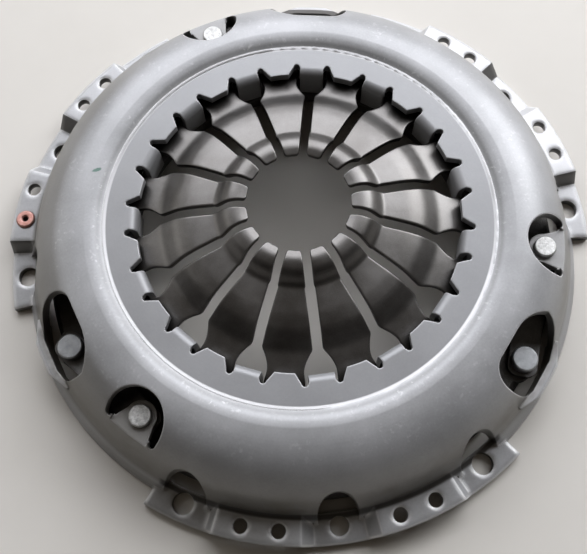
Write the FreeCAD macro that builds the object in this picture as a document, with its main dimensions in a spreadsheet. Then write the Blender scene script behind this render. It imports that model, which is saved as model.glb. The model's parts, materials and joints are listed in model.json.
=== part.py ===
import FreeCAD, Part
import math
import os
import re
import Sketcher
from FreeCAD import Placement, Rotation, Vector

# Diaphragm-spring clutch cover assembly: pressed cover, spring, cast pressure plate and drive straps.
# Millimetres. The origin is on the clutch axis, in the plane where the cover's feet meet the flywheel.
# +Z points away from the flywheel, towards the release bearing. One flange sector is centred on -Y.

doc = FreeCAD.newDocument("clutch_pressure_plate")

# Driving dimensions, in millimetres and degrees
DIMENSIONS = {
    # cover, from the flange inwards
    "bolt_circle": 125.0,
    "bolt_hole": 9.0,
    "bolt_angle": 30.0,
    "dowel_hole": 8.0,
    "balance_circle": 126.6,
    "balance_hole": 6.0,
    "balance_angle_in": 11.2,
    "balance_angle_out": 18.2,
    "flange_edge": 7.3,
    "flange_end_angle": 36.5,
    "rim_edge": 2.5,
    "foot_gap": 2.0,
    "foot_bend": 2.0,
    "flare_height": 10.0,
    "flare_edge": 0.8,
    "sheet": 3.5,
    "pad_rise": 6.2,
    "pad_start_angle": 7.1,
    "pad_end_angle": 23.0,
    "ramp_in_angle": 2.35,
    "ramp_out_angle": 1.6,
    "wall_lean": 21.0,
    "dome_radius": 28.3,
    "ring_height": 36.4,
    "crest_rise": 2.5,
    "shoulder_width": 7.4,
    "ring_bead": 1.0,
    "ring_bead_rise": 0.4,
    "ring_width": 10.5,
    "scallop_radius": 9.7,
    "scallop_set_in": 2.0,
    "dowel_scallop_radius": 8.5,
    "dowel_scallop_set_in": 3.5,
    # bent tabs and the lobes between them
    "tab_sheet": 2.6,
    "tab_half_width": 5.2,
    "tab_bend": 1.0,
    "tab_hook_bend": 2.0,
    "tab_hook_reach": 2.0,
    "notch_radius": 1.4,
    "lobe_reach": 3.6,
    "lobe_half_width": 4.1,
    # diaphragm spring
    "spring_sheet": 2.5,
    "cone_slope": 16.2,
    "fulcrum_offset": 5.4,
    "wire_radius": 2.0,
    "lever_arm": 14.5,
    "rim_overhang": 3.0,
    "running_gap": 0.3,
    "window_margin": 1.5,
    "window_half_width": 6.6,
    "window_length": 8.5,
    "window_flare": 9.0,
    "window_corner": 2.4,
    "slot_half_width": 2.1,
    "tip_slot_half_width": 1.7,
    "tip_radius": 21.5,
    "crest_of_tip_radius": 25.5,
    "tip_bend_radius": 29.6,
    "tip_foot_radius": 34.0,
    "finger_mid_radius": 46.0,
    "finger_bend_radius": 51.5,
    "finger_foot_radius": 58.5,
    "tip_rise": 20.7,
    "crest_of_tip_rise": 21.6,
    "tip_bend_rise": 20.5,
    "tip_foot_rise": 15.6,
    "finger_mid_rise": 13.6,
    "finger_bend_rise": 11.8,
    # pressure plate
    "plate_height": 3.4,
    "plate_thickness": 8.0,
    "plate_width": 37.4,
    "plate_edge": 20.4,
    "plate_flare": 2.2,
    "plate_chamfer": 1.2,
    "ridge_crest": 3.0,
    "ridge_foot": 7.6,
    "ridge_gap": 11.0,
    "lug_half_width": 9.5,
    "lug_edge": 6.0,
    "lug_set_up": 2.0,
    # drive straps and their rivets
    "strap_sheet": 0.8,
    "strap_width": 12.6,
    "strap_end": 6.8,
    "strap_flat": 6.5,
    "strap_corner": 4.2,
    "strap_pad_drop": 9.4,
    "anchor_angle": -44.3,
    "anchor_set_in": 18.5,
    "lug_angle": -69.1,
    "lug_set_in": 12.6,
    "rivet_shank": 6.0,
    "rivet_fit": 0.05,
    "anchor_head": 9.2,
    "anchor_head_height": 2.4,
    "anchor_tail": 9.0,
    "anchor_tail_height": 2.4,
    "lug_head": 10.8,
    "lug_head_height": 3.8,
    "lug_tail": 9.0,
    "lug_tail_height": 1.6,
    "lug_tail_room": 1.5,
    # openings over the straps
    "crescent_radius": 13.1,
    "crescent_set_out": 3.3,
    "crescent_depth": 2.2,
    "crescent_end": 1.9,
    "tongue_nose": 6.5,
    "tongue_side": 9.2,
    "window_angle": -70.0,
    "window_inner": 10.6,
    "window_outer": 9.0,
    "window_left": 17.2,
    "window_right": 19.3,
    "window_round": 7.5,
    "window_low_round": 12.0,
    "window_shoulder": 20.0,
    "window_shoulder_start": 3.0,
    "window_set_in": 12.2,
    "lip_height": 13.5,
    "lip_set_out": 0.5,
    "lip_sheet": 3.7,
    "lip_half_length": 7.5,
    "lip_half_foot": 17.0,
    # balance rivet
    "balance_rivet_sector": 240.0,
    "balance_rivet_bore": 2.4,
    "balance_rivet_head": 8.4,
    "balance_rivet_head_height": 1.2,
}

SECTORS = 3
FINGERS = 15
RIDGES = 9
LEAVES = 3

dims = doc.addObject("Spreadsheet::Sheet", "Dims")
for row, (alias, value) in enumerate(DIMENSIONS.items(), start=1):
    dims.set(f"A{row}", alias.replace("_", " "))
    dims.set(f"B{row}", str(value))
    dims.setAlias(f"B{row}", alias)
doc.recompute()

worked = doc.addObject("App::VarSet", "Worked")
WORKED_NAMES = []


def bound(text):
    """The formula text with each size written as a reference to the sheet or to a worked-out size."""

    def reference(match):
        word = match.group(0)
        if word in DIMENSIONS:
            return "Dims." + word
        if word in WORKED_NAMES:
            return "Worked." + word
        return word

    return re.sub(r"[a-z][a-z_]*[a-z]", reference, str(text))


def value(text):
    """The number that a formula gives now."""
    return float(dims.evalExpression(bound(text)))


def work_out(name, formula):
    """A size that follows from the driving ones."""
    worked.addProperty("App::PropertyFloat", name, "Worked")
    worked.setExpression(name, bound(formula))
    WORKED_NAMES.append(name)
    doc.recompute()


# Cover, from the flange inwards and upwards
work_out("foot_r", "bolt_circle - foot_gap")
work_out("flange_r", "bolt_circle + flange_edge")
work_out("rim_r", "foot_r + rim_edge")
work_out("crest_z", "ring_height + crest_rise")
work_out("dome_z", "crest_z - dome_radius")
work_out("wall_top_z", "dome_z + dome_radius * sin(wall_lean)")
work_out("wall_top_r", "foot_r - (wall_top_z - sheet) * tan(wall_lean)")
work_out("crest_r", "wall_top_r - dome_radius * cos(wall_lean)")
work_out("wall_depth", "sheet / cos(wall_lean)")
work_out("ring_r", "crest_r - shoulder_width")
work_out("under_ring_z", "ring_height - sheet")
work_out("shoulder_run", "shoulder_width - ring_bead / 2")
work_out("shoulder_rise", "crest_rise - ring_bead_rise")
work_out("shoulder_bend", "(shoulder_run * shoulder_run + shoulder_rise * shoulder_rise) / (2 * shoulder_rise)")
work_out("under_run", "shoulder_width - ring_bead")
work_out("under_bend", "(under_run * under_run + crest_rise * crest_rise) / (2 * crest_rise)")
work_out("fold_reach", "foot_bend * tan((90 - wall_lean) / 2)")
work_out("flare_r", "foot_r - (flare_height - sheet) * tan(wall_lean)")
work_out("under_foot_r", "foot_r + sheet * tan(wall_lean) - wall_depth")
work_out("tab_root_r", "ring_r - ring_width")
work_out("lobe_r", "tab_root_r - lobe_reach")
work_out("pad_z", "pad_rise + sheet")

# Diaphragm spring, hung between its two wire rings
work_out("fulcrum_r", "tab_root_r + fulcrum_offset")
work_out("wire_drop", "(spring_sheet / 2 + wire_radius + running_gap) / cos(cone_slope)")
work_out("upper_wire_z", "under_ring_z - wire_radius")
work_out("fulcrum_z", "upper_wire_z - wire_drop")
work_out("lower_wire_z", "fulcrum_z - wire_drop")
work_out("hook_z", "lower_wire_z - wire_radius")
work_out("spring_half", "spring_sheet / 2 / cos(cone_slope)")
work_out("ridge_r", "fulcrum_r + lever_arm")
work_out("spring_r", "ridge_r + rim_overhang")
work_out("ridge_z", "fulcrum_z - lever_arm * tan(cone_slope) - spring_half - running_gap / cos(cone_slope)")

# Drive straps, from the cover's tongue down to the plate's lug
work_out("strap_pad_z", "ring_height - strap_pad_drop")
work_out("strap_top_z", "strap_pad_z - sheet")
work_out("plate_top_z", "plate_height + plate_thickness")
work_out("strap_drop", f"strap_top_z - plate_top_z - {LEAVES} * strap_sheet")
work_out("tongue_root_rise", "strap_pad_z - dome_z")
work_out("tongue_root_r", "crest_r + sqrt(dome_radius * dome_radius - tongue_root_rise * tongue_root_rise)")
work_out("anchor_r", "foot_r - anchor_set_in")
work_out("lug_r", "foot_r - lug_set_in")
work_out("strap_turn", "lug_angle - anchor_angle")
work_out("strap_across", "lug_r * sin(strap_turn)")
work_out("strap_along", "lug_r * cos(strap_turn) - anchor_r")
work_out("strap_span", "sqrt(strap_across * strap_across + strap_along * strap_along)")
work_out("strap_run", "strap_span - 2 * strap_flat")
work_out("strap_bend", "(strap_run * strap_run + strap_drop * strap_drop) / (4 * strap_drop)")
work_out("plate_r", "ridge_r + plate_edge")


def origin_part(body, role):
    """One of the body's own origin planes or axes."""
    return next(item for item in body.Origin.OriginFeatures if item.Role == role)


def body_named(label):
    body = doc.addObject("PartDesign::Body", label)
    body.Label = label
    return body


def section(body, name, turn=None):
    """A sketch in a plane through the axis: x is the radius, y the height, turned about the axis."""
    sketch = body.newObject("Sketcher::SketchObject", name)
    sketch.AttachmentSupport = [(origin_part(body, "XZ_Plane"), "")]
    sketch.MapMode = "FlatFace"
    if turn is not None:
        angle = value(turn)
        sketch.AttachmentOffset = Placement(Vector(), Rotation(Vector(0, 1, 0), angle))
        sketch.setExpression(".AttachmentOffset.Rotation.Angle", bound(turn))
    return sketch


def plan(body, name, height="0", turn=None):
    """A sketch seen from above, at a height: x points outwards along the turned radius."""
    sketch = body.newObject("Sketcher::SketchObject", name)
    sketch.AttachmentSupport = [(origin_part(body, "XY_Plane"), "")]
    sketch.MapMode = "FlatFace"
    angle = value(turn) if turn is not None else 0.0
    sketch.AttachmentOffset = Placement(Vector(0, 0, value(height)), Rotation(Vector(0, 0, 1), angle))
    sketch.setExpression(".AttachmentOffset.Base.z", bound(height))
    if turn is not None:
        sketch.setExpression(".AttachmentOffset.Rotation.Angle", bound(turn))
    return sketch


def bind(sketch, constraint, formula):
    index = sketch.addConstraint(constraint)
    sketch.setExpression(f"Constraints[{index}]", bound(formula))


def place_point(sketch, geometry, end, across, up):
    """Hold a point of the sketch at two bound distances from its origin."""
    bind(sketch, Sketcher.Constraint("DistanceX", -1, 1, geometry, end, value(across)), across)
    bind(sketch, Sketcher.Constraint("DistanceY", -1, 1, geometry, end, value(up)), up)


def arc_between(start, finish, radius):
    """The short arc from start to finish; a positive radius turns left, a negative one right."""
    chord = finish - start
    left = Vector(-chord.y, chord.x, 0).normalize()
    reach = math.sqrt(max(radius * radius - (chord.Length / 2) ** 2, 0.0))
    centre = (start + finish) * 0.5 + left * math.copysign(reach, radius)
    first, last = (start, finish) if radius > 0 else (finish, start)
    begin = math.atan2(first.y - centre.y, first.x - centre.x)
    stop = math.atan2(last.y - centre.y, last.x - centre.x)
    if stop < begin:
        stop += 2 * math.pi
    return Part.ArcOfCircle(Part.Circle(centre, Vector(0, 0, 1), abs(radius)), begin, stop)


def outline(sketch, corners):
    """A closed outline. A corner is (x, y), or (x, y, side, radius) where an arc leads on from it."""
    offset = sketch.GeometryCount
    spots = [Vector(value(corner[0]), value(corner[1]), 0) for corner in corners]
    starts = []
    ends = []
    for index, corner in enumerate(corners):
        here = spots[index]
        after = spots[(index + 1) % len(spots)]
        if len(corner) == 2:
            sketch.addGeometry(Part.LineSegment(here, after))
        else:
            sketch.addGeometry(arc_between(here, after, corner[2] * value(corner[3])))
        turns_right = len(corner) > 2 and corner[2] < 0
        starts.append(2 if turns_right else 1)
        ends.append(1 if turns_right else 2)
    for index, corner in enumerate(corners):
        after = (index + 1) % len(corners)
        joint = Sketcher.Constraint("Coincident", offset + index, ends[index], offset + after, starts[after])
        sketch.addConstraint(joint)
    for index, corner in enumerate(corners):
        place_point(sketch, offset + index, starts[index], corner[0], corner[1])
        if len(corner) > 2:
            bind(sketch, Sketcher.Constraint("Radius", offset + index, value(corner[3])), corner[3])
    return sketch


def circle(sketch, across, up, radius):
    """A full circle, with its centre and radius bound."""
    round_edge = Part.Circle(Vector(value(across), value(up), 0), Vector(0, 0, 1), value(radius))
    index = sketch.addGeometry(round_edge)
    place_point(sketch, index, 3, across, up)
    bind(sketch, Sketcher.Constraint("Radius", index, value(radius)), radius)
    return sketch


def polar(radius, angle):
    """The x and y formulas of a point at a radius and an angle."""
    return f"({radius}) * cos({angle})", f"({radius}) * sin({angle})"


def revolve(body, sketch, angle=None, kind="PartDesign::Revolution"):
    """Turn a section about the axis: a full turn, or an angle to both sides of the section."""
    before = body.Shape.Volume if body.Tip else 0.0
    feature = body.newObject(kind, sketch.Name + "_turned")
    feature.Profile = sketch
    feature.Refine = False
    feature.ReferenceAxis = (sketch, ["V_Axis"])
    if angle is not None:
        feature.Midplane = True
        feature.setExpression("Angle", bound(angle))
    sketch.Visibility = False
    doc.recompute()
    changed(body, before, kind)
    return feature


def extrude(body, sketch, length, kind="PartDesign::Pad", up=True, both_sides=False):
    """Pad or pocket a sketch by a bound length, upwards or downwards."""
    before = body.Shape.Volume if body.Tip else 0.0
    feature = body.newObject(kind, sketch.Name + "_" + kind.split("::")[1].lower())
    feature.Profile = sketch
    feature.Refine = False
    feature.setExpression("Length", bound(length))
    feature.Midplane = both_sides
    feature.Reversed = up if kind == "PartDesign::Pocket" else not up
    doc.recompute()
    changed(body, before, kind)
    return feature


def changed(body, before, kind):
    """Stop if an operation added or took away nothing."""
    after = body.Shape.Volume
    takes_away = kind in ("PartDesign::Pocket", "PartDesign::Groove")
    if takes_away and not after < before - 1e-6:
        raise RuntimeError(f"{body.Label}: a cut took nothing away")
    if not takes_away and not after > before + 1e-6:
        raise RuntimeError(f"{body.Label}: a feature added nothing")


def repeat(body, features, count):
    """Repeat features evenly round the axis."""
    pattern = body.newObject("PartDesign::PolarPattern", features[0].Name + "_round")
    pattern.Originals = features
    pattern.Axis = (origin_part(body, "Z_Axis"), [""])
    pattern.Angle = 360
    pattern.Occurrences = count
    pattern.Refine = False
    body.Tip = pattern
    doc.recompute()
    return pattern


def put(part, across, up, height, turn="0"):
    """Place a part by its own origin and turn it about the axis direction."""
    part.Placement = Placement(Vector(), Rotation(Vector(0, 0, 1), value(turn)))
    part.setExpression(".Placement.Base.x", bound(across))
    part.setExpression(".Placement.Base.y", bound(up))
    part.setExpression(".Placement.Base.z", bound(height))
    part.setExpression(".Placement.Rotation.Angle", bound(turn))


FIRST_SECTOR = -90
REACH = "flange_r + 10"


def cover_shell(body):
    """The turned shape of the pressing: coined ring, crest, dome and the leaning wall with its flared foot."""
    shell = section(body, "shell")
    outline(shell, [
        ("lobe_r", "under_ring_z"),
        ("lobe_r", "ring_height"),
        ("ring_r - ring_bead / 2", "ring_height", -1, "ring_bead * 0.6"),
        ("ring_r + ring_bead / 2", "ring_height + ring_bead_rise", -1, "shoulder_bend"),
        ("crest_r", "crest_z", -1, "dome_radius"),
        ("wall_top_r", "wall_top_z"),
        ("flare_r", "flare_height"),
        ("rim_r", "flare_edge"),
        ("rim_r", "0"),
        ("under_foot_r", "0"),
        ("wall_top_r - sheet * cos(wall_lean)", "wall_top_z - sheet * sin(wall_lean)", 1, "dome_radius - sheet"),
        ("crest_r", "crest_z - sheet", 1, "under_bend"),
        ("ring_r + ring_bead", "under_ring_z"),
    ])
    revolve(body, shell)


def sector_band(name, body, start, end, profile, kind):
    """A turned band between two angles of the first sector, or its mirror image."""
    middle = f"{FIRST_SECTOR} + (({start}) + ({end})) / 2"
    sketch = section(body, name, middle)
    outline(sketch, profile)
    return revolve(body, sketch, f"abs(({end}) - ({start}))", kind)


def flange_profile(level):
    """Section of the flange at a height, bent up into the wall."""
    foot = f"(foot_r - ({level}) * tan(wall_lean))"
    inner = f"{foot} - wall_depth / 2"
    top = f"{level} + sheet"
    return [
        (inner, level),
        ("flange_r", level),
        ("flange_r", top),
        (f"{foot} + fold_reach", top, -1, "foot_bend"),
        (f"{foot} - fold_reach * sin(wall_lean)", f"{top} + fold_reach * cos(wall_lean)"),
        (inner, f"{top} + fold_reach * cos(wall_lean)"),
    ]


def ramp(body, name, low_angle, high_angle):
    """The sloping step between the flange on the flywheel and a raised pad."""
    ends = []
    for mark, level, angle in (("low", "0", low_angle), ("high", "pad_rise", high_angle)):
        sketch = section(body, f"{name}_{mark}", f"{FIRST_SECTOR} + {angle}")
        ends.append(outline(sketch, flange_profile(level)))
    before = body.Shape.Volume
    loft = body.newObject("PartDesign::AdditiveLoft", name)
    loft.Profile = ends[0]
    loft.Sections = [ends[1]]
    loft.Ruled = True
    loft.Refine = False
    doc.recompute()
    changed(body, before, "PartDesign::AdditiveLoft")
    return loft


def flange_sectors(body):
    """Three stretches of flange; between them the wall is trimmed where it starts to turn outwards."""
    low = flange_profile("0")
    band = sector_band("flange", body, "-flange_end_angle", "flange_end_angle", low, "PartDesign::Revolution")
    repeat(body, [band], SECTORS)


def raised_pads(body):
    """Two raised pads a sector, each with a ramp at both ends, standing clear of the flywheel."""
    under_wall = "foot_r - wall_depth - pad_rise * tan(wall_lean) - 2"
    features = []
    for side, mark in ((1, "left"), (-1, "right")):
        start = f"{side} * pad_start_angle"
        end = f"{side} * pad_end_angle"
        low_start = f"{side} * (pad_start_angle - ramp_in_angle)"
        low_end = f"{side} * (pad_end_angle + ramp_out_angle)"
        under_pad = [
            (under_wall, "-1"),
            (REACH, "-1"),
            (REACH, "pad_rise"),
            (under_wall, "pad_rise"),
        ]
        features.append(sector_band(f"{mark}_under_pad", body, start, end, under_pad, "PartDesign::Groove"))
        beyond_wall = [
            ("foot_r", "-1"),
            (REACH, "-1"),
            (REACH, "pad_rise"),
            ("foot_r", "pad_rise"),
        ]
        for name, near, far in (("inner", low_start, start), ("outer", end, low_end)):
            label = f"{mark}_{name}_under_ramp"
            features.append(sector_band(label, body, near, far, beyond_wall, "PartDesign::Groove"))
        pad = flange_profile("pad_rise")
        features.append(sector_band(f"{mark}_pad", body, start, end, pad, "PartDesign::Revolution"))
        features.append(ramp(body, f"{mark}_inner_ramp", low_start, start))
        features.append(ramp(body, f"{mark}_outer_ramp", low_end, end))
    repeat(body, features, SECTORS)


def flange_holes(body):
    """Bolt, dowel and balance holes, and the scallops that let a socket reach the bolts."""
    features = []
    scallops = plan(body, "scallops", "sheet", str(FIRST_SECTOR))
    for side in (1, -1):
        across, up = polar("bolt_circle - scallop_set_in", f"{side} * bolt_angle")
        circle(scallops, across, up, "scallop_radius")
    circle(scallops, "bolt_circle - dowel_scallop_set_in", "0", "dowel_scallop_radius")
    features.append(extrude(body, scallops, "ring_height", "PartDesign::Pocket", up=True))
    holes = plan(body, "flange_holes", "pad_z + 1", str(FIRST_SECTOR))
    for side in (1, -1):
        circle(holes, *polar("bolt_circle", f"{side} * bolt_angle"), "bolt_hole / 2")
        for angle in ("balance_angle_in", "balance_angle_out"):
            circle(holes, *polar("balance_circle", f"{side} * {angle}"), "balance_hole / 2")
    circle(holes, "bolt_circle", "0", "dowel_hole / 2")
    features.append(extrude(body, holes, "pad_z + 2", "PartDesign::Pocket", up=False))
    repeat(body, features, SECTORS)


def strap_openings(body):
    """The window over each lug rivet, and the crescent that leaves a tongue for the strap's other end."""
    over = "crest_z + 1"
    window = plan(body, "lug_window", over, f"{FIRST_SECTOR} + window_angle")
    middle = "foot_r - window_set_in"
    inner = f"{middle} - window_inner"
    outer = f"{middle} + window_outer"
    outline(window, [
        (f"{inner} + window_round", "-window_left"),
        (f"{outer} - window_low_round", "-window_left", 1, "window_low_round"),
        (outer, "-window_left + window_low_round"),
        (outer, "window_right - window_low_round", 1, "window_low_round"),
        (f"{outer} - window_low_round", "window_right", 1, "window_shoulder"),
        (inner, "window_shoulder_start"),
        (inner, "-window_left + window_round", 1, "window_round"),
    ])
    cut_window = extrude(body, window, f"{over} - sheet / 2", "PartDesign::Pocket", up=False)

    lip = plan(body, "window_lip", "0", f"{FIRST_SECTOR} + window_angle")
    lip_out = f"{outer} + lip_sheet"
    wall_out = "foot_r - (lip_height - sheet) * tan(wall_lean) - wall_depth / 2"
    outline(lip, [
        (outer, "-lip_half_length"),
        (wall_out, "-lip_half_foot"),
        (f"{wall_out} + wall_depth / 2", "-lip_half_foot"),
        (lip_out, "-lip_half_length", 1, f"{lip_out}"),
        (lip_out, "lip_half_length"),
        (f"{wall_out} + wall_depth / 2", "lip_half_foot"),
        (wall_out, "lip_half_foot"),
        (outer, "lip_half_length"),
    ])
    add_lip = extrude(body, lip, "lip_height", "PartDesign::Pad", up=True)

    crescent = plan(body, "crescent", over, f"{FIRST_SECTOR} + anchor_angle")
    centre = "anchor_r + crescent_set_out"
    half = "sqrt(crescent_radius * crescent_radius - crescent_depth * crescent_depth)"
    end = f"{centre} + crescent_depth"
    tip = f"{end} + crescent_end"
    tip_side = f"({half} - crescent_end)"
    inside = f"({half} - 2 * crescent_end)"
    outline(crescent, [
        (end, half, 1, "crescent_radius"),
        (f"{centre} - crescent_radius", "0", 1, "crescent_radius"),
        (end, f"-{half}", 1, "crescent_end"),
        (tip, f"-{tip_side}", 1, "crescent_end"),
        (end, f"-{inside}"),
        (end, inside, 1, "crescent_end"),
        (tip, tip_side, 1, "crescent_end"),
    ])
    cut_crescent = extrude(body, crescent, f"{over} - pad_z", "PartDesign::Pocket", up=False)

    flat = plan(body, "tongue_flat", over, f"{FIRST_SECTOR} + anchor_angle")
    outline(flat, [
        (f"{end} - 1", "-tongue_side"),
        ("tongue_root_r + 1", "-tongue_side"),
        ("tongue_root_r + 1", "tongue_side"),
        (f"{end} - 1", "tongue_side"),
    ])
    cut_flat = extrude(body, flat, f"{over} - strap_pad_z", "PartDesign::Pocket", up=False)

    tongue = plan(body, "tongue", "strap_top_z", f"{FIRST_SECTOR} + anchor_angle")
    root = "tongue_root_r - 1"
    outline(tongue, [
        (root, "-tongue_side"),
        (root, "tongue_side"),
        ("anchor_r", "tongue_nose", 1, "tongue_nose"),
        ("anchor_r - tongue_nose", "0", 1, "tongue_nose"),
        ("anchor_r", "-tongue_nose"),
    ])
    add_tongue = extrude(body, tongue, "sheet", "PartDesign::Pad", up=True)

    hole = plan(body, "anchor_hole", "strap_pad_z + 1", f"{FIRST_SECTOR} + anchor_angle")
    circle(hole, "anchor_r", "0", "rivet_shank / 2 + rivet_fit")
    drill = extrude(body, hole, "sheet + 2", "PartDesign::Pocket", up=False)
    repeat(body, [cut_window, add_lip, cut_crescent, cut_flat, add_tongue, drill], SECTORS)


def ring_edge(body):
    """Notches and lobes at the ring's inner edge, with a hooked tab bent down from each notch pair."""
    cut = plan(body, "tab_opening", "ring_height + 1", str(FIRST_SECTOR))
    notch = "(tab_half_width + notch_radius + running_gap)"
    lobe_angle = f"(180 / {FINGERS})"
    corner_x = f"lobe_r * cos({lobe_angle}) + lobe_half_width * sin({lobe_angle})"
    corner_y = f"lobe_r * sin({lobe_angle}) - lobe_half_width * cos({lobe_angle})"
    inside = "lobe_r - 3"
    outline(cut, [
        (inside, f"-({corner_y})"),
        (corner_x, f"-({corner_y})"),
        ("tab_root_r", f"-{notch} - notch_radius", 1, "notch_radius"),
        ("tab_root_r + notch_radius", f"-{notch}", 1, "notch_radius"),
        ("tab_root_r", f"-{notch} + notch_radius"),
        ("tab_root_r", f"{notch} - notch_radius", 1, "notch_radius"),
        ("tab_root_r + notch_radius", notch, 1, "notch_radius"),
        ("tab_root_r", f"{notch} + notch_radius"),
        (corner_x, corner_y),
        (inside, corner_y),
    ])
    opening = extrude(body, cut, "sheet + 2", "PartDesign::Pocket", up=False)

    tab = section(body, "tab", str(FIRST_SECTOR))
    bend_out = "(tab_sheet + tab_bend)"
    hook_out = "(tab_sheet + tab_hook_bend)"
    leg_in = f"tab_root_r - {bend_out}"
    leg_out = "tab_root_r - tab_bend"
    hook_x = "tab_root_r - tab_bend + tab_hook_bend"
    hook_tip = "fulcrum_r + tab_hook_reach"
    outline(tab, [
        ("tab_root_r + 1", "ring_height"),
        ("tab_root_r", "ring_height", 1, bend_out),
        (leg_in, f"ring_height - {bend_out}"),
        (leg_in, "hook_z + tab_hook_bend", 1, hook_out),
        (hook_x, "hook_z - tab_sheet"),
        (hook_tip, "hook_z - tab_sheet"),
        (hook_tip, "hook_z"),
        (hook_x, "hook_z", -1, "tab_hook_bend"),
        (leg_out, "hook_z + tab_hook_bend"),
        (leg_out, f"ring_height - {bend_out}", -1, "tab_bend"),
        ("tab_root_r", "ring_height - tab_sheet"),
        ("tab_root_r + 1", "ring_height - tab_sheet"),
    ])
    tab_pad = extrude(body, tab, "2 * tab_half_width", both_sides=True)
    repeat(body, [opening, tab_pad], FINGERS)


def make_cover():
    body = body_named("cover")
    cover_shell(body)
    flange_sectors(body)
    raised_pads(body)
    flange_holes(body)
    strap_openings(body)
    ring_edge(body)
    return body


def make_fulcrum_ring(label, height):
    """A closed ring of round wire that the spring rocks on."""
    ring = doc.addObject("Part::Torus", label)
    ring.Label = label
    ring.setExpression("Radius1", bound("fulcrum_r"))
    ring.setExpression("Radius2", bound("wire_radius"))
    put(ring, "0", "0", height)
    return ring


def make_diaphragm_spring():
    """A coned disc whose inner part is slotted into fingers with jogged, raised tips."""
    body = body_named("diaphragm_spring")
    cone = "fulcrum_z + (fulcrum_r - ({0})) * tan(cone_slope)"
    middle_line = [
        ("tip_radius", "fulcrum_z + tip_rise - spring_half"),
        ("crest_of_tip_radius", "fulcrum_z + crest_of_tip_rise - spring_half"),
        ("tip_bend_radius", "fulcrum_z + tip_bend_rise - spring_half"),
        ("tip_foot_radius", "fulcrum_z + tip_foot_rise - spring_half"),
        ("finger_mid_radius", "fulcrum_z + finger_mid_rise - spring_half"),
        ("finger_bend_radius", "fulcrum_z + finger_bend_rise - spring_half"),
        ("finger_foot_radius", cone.format("finger_foot_radius")),
        ("spring_r", cone.format("spring_r")),
    ]
    spots = [(value(across), value(up)) for across, up in middle_line]
    upper = []
    lower = []
    for index, (across, up) in enumerate(middle_line):
        before = middle_line[max(index - 1, 0)]
        after = middle_line[min(index + 1, len(middle_line) - 1)]
        run = f"(({after[0]}) - ({before[0]}))"
        rise = f"(({after[1]}) - ({before[1]}))"
        scale = f"(spring_sheet / 2 / sqrt({run} * {run} + {rise} * {rise}))"
        upper.append((f"{across} - {rise} * {scale}", f"{up} + {run} * {scale}"))
        lower.append((f"{across} + {rise} * {scale}", f"{up} - {run} * {scale}"))
    disc = section(body, "disc")
    outline(disc, upper + lower[::-1])
    revolve(body, disc)

    slot = plan(body, "slot", "fulcrum_z + crest_of_tip_rise + 5", str(FIRST_SECTOR))
    outer = "fulcrum_r - window_margin"
    side = "window_half_width"
    neck = f"({outer} - window_length - window_flare)"
    shoulder = f"({outer} - window_length)"
    inside = "tip_radius - 3"
    flare_x = f"({neck} + {shoulder}) / 2"
    flare_y = "(slot_half_width + window_half_width) / 2 + 1"
    tip_step = "(tip_foot_radius + 0.5)"
    half_outline = [
        (inside, "tip_slot_half_width"),
        (tip_step, "tip_slot_half_width"),
        (f"{tip_step} + 0.6", "slot_half_width"),
        (neck, "slot_half_width"),
        (flare_x, flare_y),
        (shoulder, side),
        (f"{outer} - window_corner", side, -1, "window_corner"),
        (outer, f"{side} - window_corner"),
    ]
    mirrored = [
        (outer, f"-({side} - window_corner)", -1, "window_corner"),
        (f"{outer} - window_corner", f"-({side})"),
        (shoulder, f"-({side})"),
        (flare_x, f"-({flare_y})"),
        (neck, "-slot_half_width"),
        (f"{tip_step} + 0.6", "-slot_half_width"),
        (tip_step, "-tip_slot_half_width"),
        (inside, "-tip_slot_half_width"),
    ]
    outline(slot, half_outline + mirrored)
    cut = extrude(body, slot, "crest_of_tip_rise + lever_arm + 10", "PartDesign::Pocket", up=False)
    repeat(body, [cut], FINGERS)
    return body


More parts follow.
